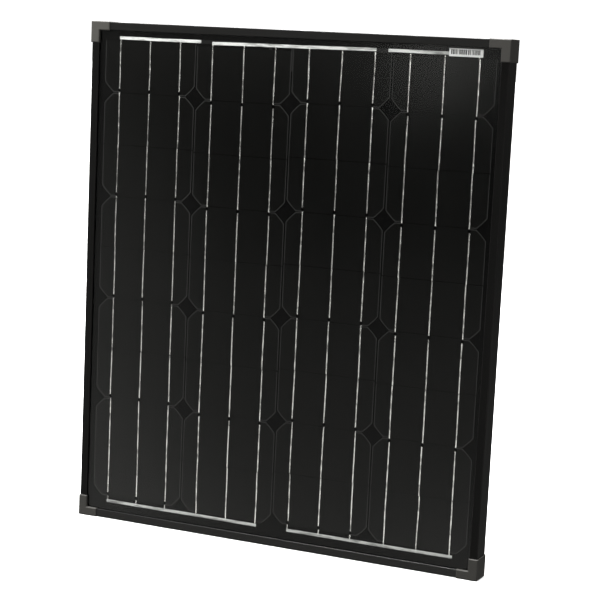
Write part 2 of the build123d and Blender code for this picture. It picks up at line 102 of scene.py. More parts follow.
# --- wires ----------------------------------------------------------------------------------------
# End gaps are bare lengths between a wire's end and the cell's edge. A wave's turn is how far it
# gets along one wire, in radians.
RIBBON_WIDTH = 1.6
ROUNDED_END_GAP = 5.4
CUT_END_GAP = 0.5
REAR_END_GAP = 2.2
JOG_LENGTH = 0.5
RIBBON_STEP = 6.0
RIBBON_DRIFT = 0.6
RIBBON_WAVE = 0.22
RIBBON_WAVE_TURN = 6.0
RIBBON_TWIST = 0.05
RIBBON_TWIST_TURN = 7.0
DOME_STEPS = 6
DOME_FALL = 0.92
SLEEVE_END = 9.2

# --- bus bars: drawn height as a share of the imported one, and the rise of each bar's ends ---------
BUS_SHARE = 0.82
BUS_STEP = 8.0
BUS_WAVE = 0.12
BUS_WAVE_TURN = 9.0
BUS_RISES = {
    "top_bus_left": (0.0, 0.0),
    "top_bus_middle": (-1.6, 0.7),
    "top_bus_right": (0.6, 1.0),
    "bottom_bus_left": (0.0, 0.0),
    "bottom_bus_right": (0.4, 0.9),
}

# --- solder at each bus bar: half its width and height, its thickness, and its rounded shape ------
SOLDER_WIDE = 1.7
SOLDER_TALL = 2.6
SOLDER_THICK = 0.13
SOLDER_SUNK = 0.02
SOLDER_STEPS = 10
SOLDER_SHAPE = ((0.0, 1.0), (0.45, 0.93), (0.8, 0.7), (1.0, 0.35))

# --- serial label: margins round the bars, and the widths and gaps they are drawn from ------------
BARS_LEFT = 3.0
BARS_RIGHT = 4.0
BARS_BELOW = 3.2
BARS_ABOVE = 1.6
BAR_WIDTHS = (0.5, 0.8, 1.2, 1.9)
BAR_GAPS = (0.5, 0.9, 1.6)
BAR_SUNK = 0.02

# --- camera: its place is in metres ---------------------------------------------------------------
CAMERA_PLACE = (1.0790, -2.3445, 0.7425)
CAMERA_AZIMUTH = 22.77
CAMERA_DROP = 9.24
CAMERA_ROLL = 2.91
CAMERA_SENSOR = 36.0
CAMERA_LENS = 103.5
CAMERA_SHIFT = 0.0667

# --- floor: the radii of its rings are in metres --------------------------------------------------
FLOOR_RINGS = (1.0, 3.0, 8.0, 25.0, 90.0)
FLOOR_STEPS = 48

# --- room -----------------------------------------------------------------------------------------
# Brightness by the sine of elevation, from straight down to straight up.
ROOM_LEVELS = (
    (-1.0, 0.05), (-0.5, 0.10), (-0.34, 0.36), (-0.28, 0.30), (-0.20, 0.17), (-0.14, 0.10),
    (-0.09, 0.005), (-0.03, 0.002), (0.0, 0.12), (0.02, 0.27), (0.10, 0.08), (0.3, 0.04), (1.0, 0.3),
)
# What is added beside the part that the flat glass mirrors, where only the domed wires see it.
SIDE_LEVELS = (
    (-1.0, 0.0), (-0.4, 0.1), (-0.3, 1.15), (-0.20, 1.0), (-0.12, 0.75), (-0.095, 0.05),
    (-0.02, 0.03), (0.0, 0.80), (0.03, 1.35), (0.2, 0.30), (0.5, 0.0),
)
# Middle of the mirrored part, and how far from it the side levels start and are full.
MIRRORED_AZIMUTH = 25.0
SIDE_START = 14.0
SIDE_FULL = 26.0
# Brightness behind the panel, and the Y of a ray where the front starts and is full.
ROOM_BEHIND = 0.15
FRONT_START = 0.3
FRONT_FULL = -0.7
# Soft patches of light, each by azimuth from straight ahead towards the left, elevation, outer and
# inner radius, and strength.
ROOM_PATCHES = (
    (33.0, -17.0, 8.0, 1.0, 0.40),
    (35.0, -7.0, 9.0, 2.0, 0.27),
    (34.0, -2.5, 5.0, 1.0, 0.05),
    (-19.0, 4.0, 6.0, 3.0, 4.5),
    (20.0, 0.3, 2.3, 0.2, 0.95),
    (-90.0, 5.0, 42.0, 10.0, 0.60),
    (95.0, 5.0, 36.0, 10.0, 0.50),
)
ROOM_COLOUR = (1.0, 0.997, 0.955, 1.0)
# Share of the levels that matt surfaces get, and the brightness of the backdrop.
ROOM_SPREAD = 0.25
BACKDROP = 1.2

# --- the frame's front and middle height in metres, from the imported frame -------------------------
rail_low, rail_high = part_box("frame_left")
FRONT_Y = rail_low.y
MIDDLE_Z = (rail_low.z + rail_high.z) / 2


def at(x, deep, z):
    """Point in metres from millimetres: x, depth behind the frame's front, height from the middle."""
    return Vector((x * MM, FRONT_Y + deep * MM, MIDDLE_Z + z * MM))


def height(z_m):
    """Height from the frame's middle in millimetres, of a height in metres."""
    return (z_m - MIDDLE_Z) / MM


# --- materials ------------------------------------------------------------------------------------

class Finish:
    """A Principled material with helpers that drive it from procedural nodes."""

    def __init__(self, name, colour, roughness, metallic=0.0, specular=0.5):
        self.material = bpy.data.materials.new(name)
        self.material.use_nodes = True
        self.tree = self.material.node_tree
        self.shader = self.tree.nodes["Principled BSDF"]
        self.set("Base Color", (*colour, 1.0))
        self.set("Roughness", roughness)
        self.set("Metallic", metallic)
        self.set("Specular IOR Level", specular)
        self.coordinates = self.tree.nodes.new("ShaderNodeTexCoord").outputs["Object"]

    def set(self, socket, value):
        self.shader.inputs[socket].default_value = value

    def node(self, kind, **inputs):
        """New node with its inputs set by name."""
        made = self.tree.nodes.new(kind)
        for name, value in inputs.items():
            made.inputs[name].default_value = value
        return made

    def link(self, output, target):
        self.tree.links.new(output, target)

    def drive(self, output, socket):
        """Drives a socket of the shader."""
        self.link(output, self.shader.inputs[socket])

    def math(self, operation, first, second):
        """Maths on two values, each a number or another node's output."""
        made = self.tree.nodes.new("ShaderNodeMath")
        made.operation = operation
        for index, value in enumerate((first, second)):
            if isinstance(value, (int, float)):
                made.inputs[index].default_value = value
            else:
                self.link(value, made.inputs[index])
        return made.outputs[0]

    def noise(self, scale, stretch=(1, 1, 1), detail=3.0, roughness=0.55):
        """Noise in object space with scale patches to a metre, drawn out where stretch is small."""
        mapping = self.tree.nodes.new("ShaderNodeMapping")
        mapping.inputs["Scale"].default_value = stretch
        self.link(self.coordinates, mapping.inputs["Vector"])
        noise = self.node("ShaderNodeTexNoise", Scale=scale, Detail=detail, Roughness=roughness)
        self.link(mapping.outputs["Vector"], noise.inputs["Vector"])
        return noise.outputs["Fac"]

    def spread(self, factor, low, high, start=0.3, end=0.7):
        """Spreads a factor's range from start to end over low to high."""
        made = self.tree.nodes.new("ShaderNodeMapRange")
        self.link(factor, made.inputs["Value"])
        for name, value in (("From Min", start), ("From Max", end), ("To Min", low), ("To Max", high)):
            made.inputs[name].default_value = value
        return made.outputs["Result"]

    def mix(self, factor, first, second):
        """Mixes two colours, each a tuple or another node's output."""
        made = self.tree.nodes.new("ShaderNodeMix")
        made.data_type = "RGBA"
        self.link(factor, made.inputs[0])
        for value, socket in ((first, made.inputs[6]), (second, made.inputs[7])):
            if isinstance(value, tuple):
                socket.default_value = (*value, 1.0)
            else:
                self.link(value, socket)
        return made.outputs[2]

    def bump(self, factor, distance, strength):
        """Normal of a surface whose relief is distance millimetres deep."""
        made = self.node("ShaderNodeBump", Strength=strength, Distance=distance * MM)
        self.link(factor, made.inputs["Height"])
        return made.outputs["Normal"]

    def depth(self):
        """The Y coordinate in metres."""
        parts = self.tree.nodes.new("ShaderNodeSeparateXYZ")
        self.link(self.coordinates, parts.inputs["Vector"])
        return parts.outputs["Y"]

    def surface(self, shader):
        """Puts another shader on the surface and drops the Principled one."""
        self.link(shader.outputs[0], self.tree.nodes["Material Output"].inputs["Surface"])
        self.tree.nodes.remove(self.shader)


def shade(colour, factor):
    """A colour made darker or lighter."""
    return tuple(min(1.0, channel * factor) for channel in colour)


def anodised(name, stretch, gloss):
    """Black anodised extrusion: fine die lines along the rail, slight cloudiness."""
    colour = (0.0042, 0.0041, 0.0039)
    finish = Finish(name, colour, 0.42, specular=gloss)
    cloud = finish.noise(14.0)
    lines = finish.noise(900.0, stretch, detail=2.0)
    finish.drive(finish.mix(cloud, shade(colour, 0.75), shade(colour, 1.3)), "Base Color")
    finish.drive(finish.spread(lines, 0.34, 0.50), "Roughness")
    finish.drive(finish.bump(lines, 0.012, 0.6), "Normal")
    return finish.material


def moulded(name, colour, roughness=(0.45, 0.6), grain=1500.0, depth=0.03):
    """Moulded plastic with a fine spark-eroded grain."""
    finish = Finish(name, colour, sum(roughness) / 2, specular=0.4)
    cloud = finish.noise(30.0)
    fine = finish.noise(grain, detail=2.0)
    finish.drive(finish.mix(cloud, shade(colour, 0.88), shade(colour, 1.12)), "Base Color")
    finish.drive(finish.spread(cloud, *roughness), "Roughness")
    finish.drive(finish.bump(fine, depth, 0.5), "Normal")
    return finish.material


def silicon():
    """Cell surface: near-black nitride, each cell in its own tone, with faint streaks across."""
    finish = Finish("silicon", (0.0018, 0.0018, 0.0017), 0.31, specular=0.24)
    tone = finish.tree.nodes.new("ShaderNodeAttribute")
    tone.attribute_name = TONE_LAYER
    cloud = finish.noise(9.0, detail=4.0)
    streaks = finish.noise(260.0, (0.06, 1, 1), detail=2.0)
    base = finish.mix(cloud, (0.0011, 0.0011, 0.0010), (0.0019, 0.0019, 0.0017))
    streaked = finish.mix(streaks, SILICON_DARK, base)
    finish.drive(finish.mix(tone.outputs["Fac"], SILICON_DARK, streaked), "Base Color")
    finish.drive(finish.spread(cloud, 0.29, 0.34), "Roughness")
    return finish.material


def cell_border():
    """The bare edge of a cell, a little lighter than its middle."""
    finish = Finish("cell_border", (0.016, 0.016, 0.017), 0.4)
    cloud = finish.noise(40.0)
    finish.drive(finish.mix(cloud, (0.024, 0.024, 0.023), (0.034, 0.034, 0.033)), "Base Color")
    return finish.material


def tinned(name, metallic, stretch):
    """Tinned copper: bright, with uneven solder along each wire."""
    finish = Finish(name, (0.85, 0.85, 0.84), 0.2, metallic=metallic)
    runs = finish.noise(75.0, stretch, detail=2.0, roughness=0.6)
    fine = finish.noise(420.0, (1, 1, 0.5))
    streaks = finish.spread(runs, 0.0, 1.0, start=0.32, end=0.58)
    finish.drive(finish.mix(streaks, (0.36, 0.36, 0.35), (1.0, 1.0, 0.98)), "Base Color")
    finish.drive(finish.spread(fine, 0.12, 0.28), "Roughness")
    finish.drive(finish.bump(fine, 0.03, 0.3), "Normal")
    return finish.material


def clear_front():
    """Outer face of the front glass: a thin reflection over what lies behind it."""
    finish = Finish("glass_front", (0.95, 0.96, 0.955), 0.02)
    clear = finish.node("ShaderNodeBsdfTransparent", Color=(0.95, 0.957, 0.952, 1.0))
    gloss = finish.node("ShaderNodeBsdfGlossy", Color=(1.0, 1.0, 1.0, 1.0), Roughness=0.11)
    slant = finish.node("ShaderNodeLayerWeight", Blend=0.5).outputs["Facing"]
    rise = finish.math("MULTIPLY", finish.math("POWER", slant, 5.0), 1.0 - GLASS_MIRROR)
    mixed = finish.tree.nodes.new("ShaderNodeMixShader")
    finish.link(finish.math("ADD", rise, GLASS_MIRROR), mixed.inputs[0])
    finish.link(clear.outputs[0], mixed.inputs[1])
    finish.link(gloss.outputs[0], mixed.inputs[2])
    finish.surface(mixed)
    return finish.material


def clear_rear():
    """Bonded rear face of the glass, where nothing reflects."""
    finish = Finish("glass_rear", (1, 1, 1), 0.0)
    finish.surface(finish.node("ShaderNodeBsdfTransparent", Color=(1.0, 1.0, 1.0, 1.0)))
    return finish.material


def film(name, colour, roughness, grain, gloss=0.35):
    """Polymer film with a faint emboss."""
    finish = Finish(name, colour, roughness, specular=gloss)
    cloud = finish.noise(6.0)
    emboss = finish.noise(grain, detail=2.0)
    finish.drive(finish.mix(cloud, shade(colour, 0.85), shade(colour, 1.15)), "Base Color")
    finish.drive(finish.spread(cloud, roughness - 0.06, roughness + 0.06), "Roughness")
    finish.drive(finish.bump(emboss, 0.02, 0.5), "Normal")
    return finish.material


def sleeved_lead():
    """Tinned lead in a black sleeve as far as it lies inside the laminate."""
    finish = Finish("sleeved_lead", (0.8, 0.79, 0.76), 0.4, metallic=0.3)
    bare = finish.math("GREATER_THAN", finish.depth(), FRONT_Y + SLEEVE_END * MM)
    scuffs = finish.noise(300.0)
    metal_tone = finish.mix(scuffs, (0.6, 0.59, 0.56), (0.9, 0.89, 0.86))
    finish.drive(finish.mix(bare, (0.003, 0.003, 0.003), metal_tone), "Base Color")
    finish.drive(finish.spread(bare, 0.0, 0.3, start=0.0, end=1.0), "Metallic")
    return finish.material


def metal(name, colour, roughness, stretch=(1, 1, 1)):
    """Plain machined or pressed metal with fine brushing."""
    finish = Finish(name, colour, roughness, metallic=1.0)
    brush = finish.noise(700.0, stretch, detail=2.0)
    cloud = finish.noise(25.0)
    finish.drive(finish.mix(cloud, shade(colour, 0.88), shade(colour, 1.08)), "Base Color")
    finish.drive(finish.spread(brush, roughness - 0.08, roughness + 0.1), "Roughness")
    finish.drive(finish.bump(brush, 0.01, 0.5), "Normal")
    return finish.material


def soft_rubber(name, colour):
    """Matt rubber or cured silicone with a faint mottle."""
    finish = Finish(name, colour, 0.7, specular=0.3)
    mottle = finish.noise(200.0)
    finish.drive(finish.mix(mottle, shade(colour, 0.8), shade(colour, 1.25)), "Base Color")
    finish.drive(finish.bump(mottle, 0.04, 0.5), "Normal")
    return finish.material


def floor_paint():
    """Plain pale studio floor."""
    finish = Finish("studio_floor", (0.90, 0.90, 0.90), 0.75, specular=0.2)
    cloud = finish.noise(1.2, detail=2.0)
    finish.drive(finish.mix(cloud, (0.885, 0.885, 0.885), (0.915, 0.915, 0.915)), "Base Color")
    return finish.material


def make_materials():
    return {
        "rail_x": anodised("anodised_across", (0.01, 1, 1), 0.6),
        "rail_z": anodised("anodised_upright", (1, 1, 0.01), 0.16),
        "cap": moulded("cap_plastic", (0.062, 0.060, 0.055)),
        "silicon": silicon(),
        "border": cell_border(),
        "wire": tinned("tinned_wire", 0.9, (1.0, 1.0, 1.0)),
        "bus": tinned("tinned_bus", 0.15, (0.5, 1.0, 3.0)),
        "clearing": film("bare_spot", (0.0008, 0.0008, 0.0008), 0.5, 900.0, gloss=0.02),
        "lead": sleeved_lead(),
        "glass_front": clear_front(),
        "glass_rear": clear_rear(),
        "black_film": film("black_film", (0.0014, 0.0014, 0.0014), 0.5, 700.0, gloss=0.1),
        "backsheet": film("backsheet_film", (0.022, 0.022, 0.0225), 0.5, 500.0),
        "silicone": soft_rubber("silicone", (0.012, 0.012, 0.012)),
        "rubber": soft_rubber("rubber", (0.022, 0.022, 0.022)),
        "box": moulded("box_plastic", (0.036, 0.036, 0.037), grain=1100.0, depth=0.04),
        "nylon": moulded("gland_nylon", (0.050, 0.050, 0.051), (0.38, 0.5)),
        "diode": moulded("diode_plastic", (0.012, 0.012, 0.013), (0.3, 0.4)),
        "label": film("label_film", (0.90, 0.90, 0.885), 0.45, 900.0),
        "ink": film("label_ink", (0.03, 0.03, 0.03), 0.5, 900.0),
        "silver": film("rating_film", (0.33, 0.335, 0.34), 0.35, 900.0),
        "steel": metal("stainless", (0.56, 0.56, 0.57), 0.3, (1, 1, 0.1)),
        "brass": metal("tinned_brass", (0.66, 0.62, 0.52), 0.34),
        "mill": metal("mill_aluminium", (0.62, 0.62, 0.63), 0.42, (0.1, 1, 0.1)),
        "floor": floor_paint(),
    }


# --- mesh helpers ---------------------------------------------------------------------------------

def finished(name, bm, materials, replaces=(), body="panel", smooth=35):
    """Turns a bmesh into a named piece that rides on a body."""
    bmesh.ops.recalc_face_normals(bm, faces=bm.faces)
    mesh = bpy.data.meshes.new(name)
    bm.to_mesh(mesh)
    bm.free()
    for material in materials:
        mesh.materials.append(material)
    mesh.shade_smooth()
    mesh.set_sharp_from_angle(angle=math.radians(smooth))
    piece = bpy.data.objects.new(name, mesh)
    flat_faces = piece.modifiers.new("flat_faces", "WEIGHTED_NORMAL")
    flat_faces.keep_sharp = True
    flat_faces.weight = 100
    bpy.context.scene.collection.objects.link(piece)
    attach(piece, body)
    if replaces:
        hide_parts(*replaces)


def add_block(bm, low, high, material=0):
    """Closed box between two corners in metres."""
    corners = [Vector((x, y, z)) for x in (low.x, high.x) for y in (low.y, high.y) for z in (low.z, high.z)]
    verts = [bm.verts.new(corner) for corner in corners]
    for quad in ((0, 1, 3, 2), (4, 6, 7, 5), (0, 4, 5, 1), (2, 3, 7, 6), (0, 2, 6, 4), (1, 5, 7, 3)):
        bm.faces.new([verts[i] for i in quad]).material_index = material


def loft(bm, rings):
    """Skins a list of equal closed rings of points and closes both ends."""
    made = [[bm.verts.new(point) for point in ring] for ring in rings]
    count = len(made[0])
    for lower, upper in zip(made, made[1:]):
        for i in range(count):
            j = (i + 1) % count
            bm.faces.new((lower[i], lower[j], upper[j], upper[i]))
    bm.faces.new(list(reversed(made[0])))
    bm.faces.new(made[-1])


def turn_angles(steps):
    """Equal angles once round a circle, in radians."""
    return [2 * math.pi * i / steps for i in range(steps)]


def cleaned(node):
    """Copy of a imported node's mesh as welded flat faces."""
    bm = bmesh.new()
    bm.from_mesh(nodes[node].data)
    bmesh.ops.remove_doubles(bm, verts=bm.verts, dist=WELD * MM)
    bmesh.ops.dissolve_limit(bm, angle_limit=math.radians(FLAT_ANGLE), verts=bm.verts, edges=bm.edges)
    for face in bm.faces:
        face.material_index = 0
    return bm


def round_edges(bm, width, segments, chosen=lambda edge: True):
    """Rounds the hard edges that are chosen."""
    limit = math.radians(HARD_ANGLE)
    hard = [e for e in bm.edges if len(e.link_faces) == 2 and e.calc_face_angle(0.0) > limit and chosen(e)]
    bmesh.ops.bevel(bm, geom=hard, offset=width * MM, offset_type="OFFSET", segments=segments,
                    profile=0.5, affect="EDGES", clamp_overlap=True)


def bevelled(node, name, width, material, body="panel", segments=2):
    """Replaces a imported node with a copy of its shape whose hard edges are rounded."""
    bm = cleaned(node)
    round_edges(bm, width, segments)
    finished(name, bm, [material], [node], body, smooth=40)


# --- frame and caps -------------------------------------------------------------------------------

def on_front_face(edge):
    return all(abs(vert.co.y - FRONT_Y) < SAME_PLANE * MM for vert in edge.verts)


def is_long(edge):
    return edge.calc_length() > RAIL_LONG_EDGE * MM and edge.is_manifold


def make_rail(side, material):
    """A rail whose front edges are rounded more than its other long ones."""
    bm = cleaned(f"frame_{side}")
    round_edges(bm, RAIL_FRONT_ROUND, 3, on_front_face)
    round_edges(bm, RAIL_ROUND, 1, is_long)
    finished(f"rail_{side}", bm, [material], [f"frame_{side}"], smooth=40)


def make_frame(mats):
    for side in ("top", "bottom"):
        make_rail(side, mats["rail_x"])
    for side in ("left", "right"):
        make_rail(side, mats["rail_z"])
    for corner in CORNERS:
        node = f"corner_cap_{corner}"
        bevelled(node, f"cap_{corner}", CAP_ROUND, mats["cap"], segments=3)


# --- glass and cells ------------------------------------------------------------------------------

def make_glass(mats):
    """Tempered glass with ground edges; its rear face is the bonded one."""
    low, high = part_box("glass")
    rear = FRONT_Y + GLASS_REAR * MM
    bm = bmesh.new()
    add_block(bm, low, Vector((high.x, rear, high.z)))
    edges = list(bm.edges)
    bmesh.ops.bevel(bm, geom=edges, offset=GLASS_ROUND * MM, segments=2, affect="EDGES", profile=0.5)
    for face in bm.faces:
        if face.calc_center_median().y > rear - SAME_PLANE * MM:
            face.material_index = 1
    used = [mats["glass_front"], mats["glass_rear"]]
    finished("front_glass", bm, used, ["glass", "front_encapsulant"])


def cell_outline():
    """Half cell: cut edge on z = 0, rounded corners where the ingot's circle cuts the square."""
    half = CELL_SIZE / 2
    start = math.acos(half / INGOT_RADIUS)
    end = math.pi / 2 - start
    angles = [start + (end - start) * i / CELL_CORNER_STEPS for i in range(CELL_CORNER_STEPS + 1)]
    right = [(INGOT_RADIUS * math.cos(a), INGOT_RADIUS * math.sin(a)) for a in angles]
    left = [(-x, z) for x, z in reversed(right)]
    top = right[-1][1]
    return [(-half, 0.0), (half, 0.0), *right, (RIBBON_PITCH, top), (-RIBBON_PITCH, top), *left]


def add_cell(bm, x, cut_edge, rounded_below, tone):
    """One half cell with its bare border; its rounded corners lie below or above its cut edge."""
    sign = -1 if rounded_below else 1
    stretch = (CELL_HALF + 2 * CELL_GROWTH) / CELL_HALF
    outline = [(x + px, cut_edge + sign * (pz * stretch - CELL_GROWTH)) for px, pz in cell_outline()]
    front = [bm.verts.new(at(px, CELL_FRONT, pz)) for px, pz in outline]
    back = [bm.verts.new(at(px, CELL_BACK, pz)) for px, pz in outline]
    face = bm.faces.new(front)
    faces = [face, bm.faces.new(list(reversed(back)))]
    count = len(front)
    for i in range(count):
        j = (i + 1) % count
        faces.append(bm.faces.new((front[i], back[i], back[j], front[j])))
    for one in faces:
        one.material_index = 1
        one.normal_update()
    rim = bmesh.ops.inset_region(bm, faces=[face], thickness=CELL_BORDER * MM, depth=0.0)["faces"]
    layer = bm.faces.layers.float.get(TONE_LAYER)
    for one in [face] + rim:
        across = [vert.co.x for vert in one.verts]
        one.material_index = 0 if max(across) - min(across) > RIBBON_PITCH * MM else 1
        one[layer] = tone


def string_rows(index):
    """Bottom and top heights of a string's cells, top row first, and the string's middle."""
    low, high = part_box(f"cell_string_{index}")
    top = height(high.z)
    rows = [(top - row * ROW_PITCH - CELL_HALF, top - row * ROW_PITCH) for row in range(ROWS)]
    return rows, (low.x + high.x) / 2 / MM


def is_rounded_below(row):
    return row % 2 == 0


def make_cells(mats):
    for index in range(1, STRINGS + 1):
        bm = bmesh.new()
        bm.faces.layers.float.new(TONE_LAYER)
        rows, x = string_rows(index)
        for row, (low, high) in enumerate(rows):
            rounded_below = is_rounded_below(row)
            add_cell(bm, x, high if rounded_below else low, rounded_below, random.uniform(*CELL_TONES))
        used = [mats["silicon"], mats["border"]]
        finished(f"cells_{index}", bm, used, [f"cell_string_{index}"])


def add_clearing(bm, x, z):
    """Thin round clearing in the print."""
    rings = []
    for deep, inset in ((CELL_FRONT, 0.0), (CLEARING_FRONT, CLEARING_SLOPE)):
        radius = CLEARING_RADIUS - inset
        angles = turn_angles(CLEARING_STEPS)
        rings.append([at(x + radius * math.cos(a), deep, z + radius * math.sin(a)) for a in angles])
    loft(bm, rings)


def make_clearings(mats):
    """A clearing at every wire, on each rounded edge."""
    bm = bmesh.new()
    for index in range(1, STRINGS + 1):
        rows, middle = string_rows(index)
        for line in LINES:
            for row, (low, high) in enumerate(rows):
                z = low + CLEARING_INSET if is_rounded_below(row) else high - CLEARING_INSET
                add_clearing(bm, middle + line * RIBBON_PITCH, z)
    finished("busbar_ends", bm, [mats["clearing"]])


# --- flat wires -----------------------------------------------------------------------------------

def strip_section(half):
    """Outline across a flat wire: (sideways, forwards) points of its domed front and flat rear."""
    thick = CELL_FRONT - RIBBON_FRONT
    points = []
    for i in range(DOME_STEPS + 1):
        across = -1.0 + 2.0 * i / DOME_STEPS
        points.append((half * across, thick * (1.0 - DOME_FALL * across * across)))
    return [(-half, 0.0), *points, (half, 0.0)]


def add_ribbon(bm, x, points, drift):
    """Flat wire along z: points are (z, depth of its rear face); it wanders sideways by drift."""
    rings = []
    start, end = points[0][0], points[-1][0]
    first, last = drift
    side_phase = random.uniform(0, 2 * math.pi)
    twist_phase = random.uniform(0, 2 * math.pi)
    for z, deep in points:
        t = (z - start) / (end - start)
        side = first + (last - first) * t + RIBBON_WAVE * math.sin(side_phase + RIBBON_WAVE_TURN * t)
        twist = RIBBON_TWIST * math.sin(twist_phase + RIBBON_TWIST_TURN * t)
        ring = []
        for across, forward in strip_section(RIBBON_WIDTH / 2):
            ring.append(at(x + side + across, deep - forward + twist * across / 2, z))
        rings.append(ring)
    loft(bm, rings)


def stretch_points(low, high, deep):
    """Evenly spaced (z, depth) points up a straight stretch."""
    count = max(1, round((high - low) / RIBBON_STEP))
    return [(low + (high - low) * i / count, deep) for i in range(count + 1)]


def joined_points(front, rear, front_is_low):
    """A wire that steps from the glass side of one cell to the back of the next, upwards."""
    if front_is_low:
        lower = stretch_points(front[0], front[1] - JOG_LENGTH, CELL_FRONT)
        upper = stretch_points(rear[0] + JOG_LENGTH, rear[1], RIBBON_BACK)
    else:
        lower = stretch_points(rear[0], rear[1] - JOG_LENGTH, RIBBON_BACK)
        upper = stretch_points(front[0] + JOG_LENGTH, front[1], CELL_FRONT)
    return lower + upper


def random_drift():
    return random.uniform(-RIBBON_DRIFT, RIBBON_DRIFT), random.uniform(-RIBBON_DRIFT, RIBBON_DRIFT)


def end_gap(row, at_top):
    """Bare length between a wire's free end and the cell's edge, longer at a rounded edge."""
    return CUT_END_GAP if at_top == is_rounded_below(row) else ROUNDED_END_GAP


def wire_pieces(rows, joins_top):
    """Centre lines of one column's wires, each as (height, depth) points from its lower end up."""
    bus_low = height(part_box("top_bus_left")[0].z)
    bus_high = height(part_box("bottom_bus_left")[1].z)
    pieces = []
    for row, ((low_a, high_a), (low_b, high_b)) in enumerate(zip(rows, rows[1:])):
        jog = (low_a + high_b) / 2
        if joins_top:
            front = (low_b + end_gap(row + 1, False), jog)
            pieces.append(joined_points(front, (jog, high_a - REAR_END_GAP), True))
        else:
            front = (jog, high_a - end_gap(row, True))
            pieces.append(joined_points(front, (low_b + REAR_END_GAP, jog), False))
    first_low, first_high = rows[0]
    last_low, last_high = rows[-1]
    if joins_top:
        jog = (last_low + bus_high) / 2
        pieces.append(stretch_points(first_low + end_gap(0, False), bus_low, CELL_FRONT))
        pieces.append(joined_points((bus_high, jog), (jog, last_high - REAR_END_GAP), True))
    else:
        jog = (first_high + bus_low) / 2
        pieces.append(stretch_points(bus_high, last_high - end_gap(ROWS - 1, True), CELL_FRONT))
        pieces.append(joined_points((jog, bus_low), (first_low + REAR_END_GAP, jog), False))
    return pieces


def make_ribbons(mats):
    """Three wires per cell; in strings 1 and 3 they run behind the cell above, in 2 and 4 below."""
    for index in range(1, STRINGS + 1):
        rows, middle = string_rows(index)
        bm = bmesh.new()
        for line in LINES:
            for points in wire_pieces(rows, joins_top=index % 2 == 1):
                add_ribbon(bm, middle + line * RIBBON_PITCH, points, random_drift())
        node = f"ribbons_string_{index}"
        finished(f"ribbons_{index}", bm, [mats["wire"]], [node], smooth=50)


# --- bus bars -------------------------------------------------------------------------------------

def add_solder(bm, x, z):
    """Flattened blob of solder where a wire meets a bus bar."""
    rings = []
    for share, radius in SOLDER_SHAPE:
        deep = RIBBON_FRONT + SOLDER_SUNK - SOLDER_THICK * share
        wide, tall = SOLDER_WIDE * radius, SOLDER_TALL * radius
        angles = turn_angles(SOLDER_STEPS)
        rings.append([at(x + wide * math.cos(a), deep, z + tall * math.sin(a)) for a in angles])
    loft(bm, rings)


def make_bus(mats, node, rise, wires):
    """Bus bar with a slight slope and waves, and solder at each wire."""
    low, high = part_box(node)
    x0, x1 = low.x / MM, high.x / MM
    z = height((low.z + high.z) / 2)
    half = (high.z - low.z) / 2 / MM * BUS_SHARE
    count = round((x1 - x0) / BUS_STEP)
    phase = random.uniform(0, 2 * math.pi)
    bm = bmesh.new()
    rings = []
    for i in range(count + 1):
        t = i / count
        offset = rise[0] + (rise[1] - rise[0]) * t + BUS_WAVE * math.sin(phase + BUS_WAVE_TURN * t)
        ring = []
        for across, forward in strip_section(half):
            ring.append(at(x0 + (x1 - x0) * t, CELL_FRONT - forward, z + offset + across))
        rings.append(ring)
    loft(bm, rings)
    for x in wires:
        if x0 < x < x1:
            add_solder(bm, x, z + rise[0] + (rise[1] - rise[0]) * (x - x0) / (x1 - x0))
    finished(f"{node}_strip", bm, [mats["bus"]], [node], smooth=50)


def make_buses(mats):
    wires = []
    for index in range(1, STRINGS + 1):
        middle = string_rows(index)[1]
        wires += [middle + line * RIBBON_PITCH for line in LINES]
    for node, rise in BUS_RISES.items():
        make_bus(mats, node, rise, wires)


# --- serial label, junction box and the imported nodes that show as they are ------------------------

def make_serial_label(mats):
    """White film with a row of plain bars."""
    low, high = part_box("serial_label")
    bm = bmesh.new()
    add_block(bm, low, high)
    bar_low = height(low.z) + BARS_BELOW
    bar_high = height(high.z) - BARS_ABOVE
    x = low.x / MM + BARS_LEFT
    while x < high.x / MM - BARS_RIGHT:
        bar = random.choice(BAR_WIDTHS)
        add_block(bm, at(x, LABEL_FRONT - BAR_SUNK, bar_low), at(x + bar, LABEL_FRONT, bar_high), 1)
        x += bar + random.choice(BAR_GAPS)
    used = [mats["label"], mats["ink"]]
    finished("serial_label_film", bm, used, ["serial_label"])


def make_box(mats):
    bevelled("junction_box", "box_base", BOX_ROUND, mats["box"])
    bevelled("box_lid", "box_cover", BOX_ROUND, mats["box"], body="lid")
    for side in ("left", "right"):
        bevelled(f"gland_body_{side}", f"gland_{side}", GLAND_BODY_ROUND, mats["nylon"])
        bevelled(f"gland_nut_{side}", f"gland_cap_{side}", GLAND_NUT_ROUND, mats["nylon"])


def dress(name, material):
    nodes[name].data.materials.clear()
    nodes[name].data.materials.append(material)


def dress_nodes(mats):
    """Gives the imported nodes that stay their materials."""
    plain = {
        "rear_encapsulant": "black_film", "backsheet": "backsheet", "edge_sealant": "silicone",
        "box_adhesive": "silicone", "rating_label": "silver", "box_gasket": "rubber",
        "gland_seal_left": "rubber", "gland_seal_right": "rubber", "lid_hinge_pin": "steel",
        "terminal_screws": "steel", "terminal_left": "brass", "terminal_middle": "brass",
        "terminal_right": "brass", "bypass_diode_left": "diode", "bypass_diode_right": "diode",
        "lead_out_left": "lead", "lead_out_middle": "lead", "lead_out_right": "lead",
        "gland_locknuts": "nylon",
    }
    for name, key in plain.items():
        dress(name, mats[key])
    for corner in CORNERS:
        dress(f"corner_key_{corner}", mats["mill"])


# --- camera, floor and lights ---------------------------------------------------------------------

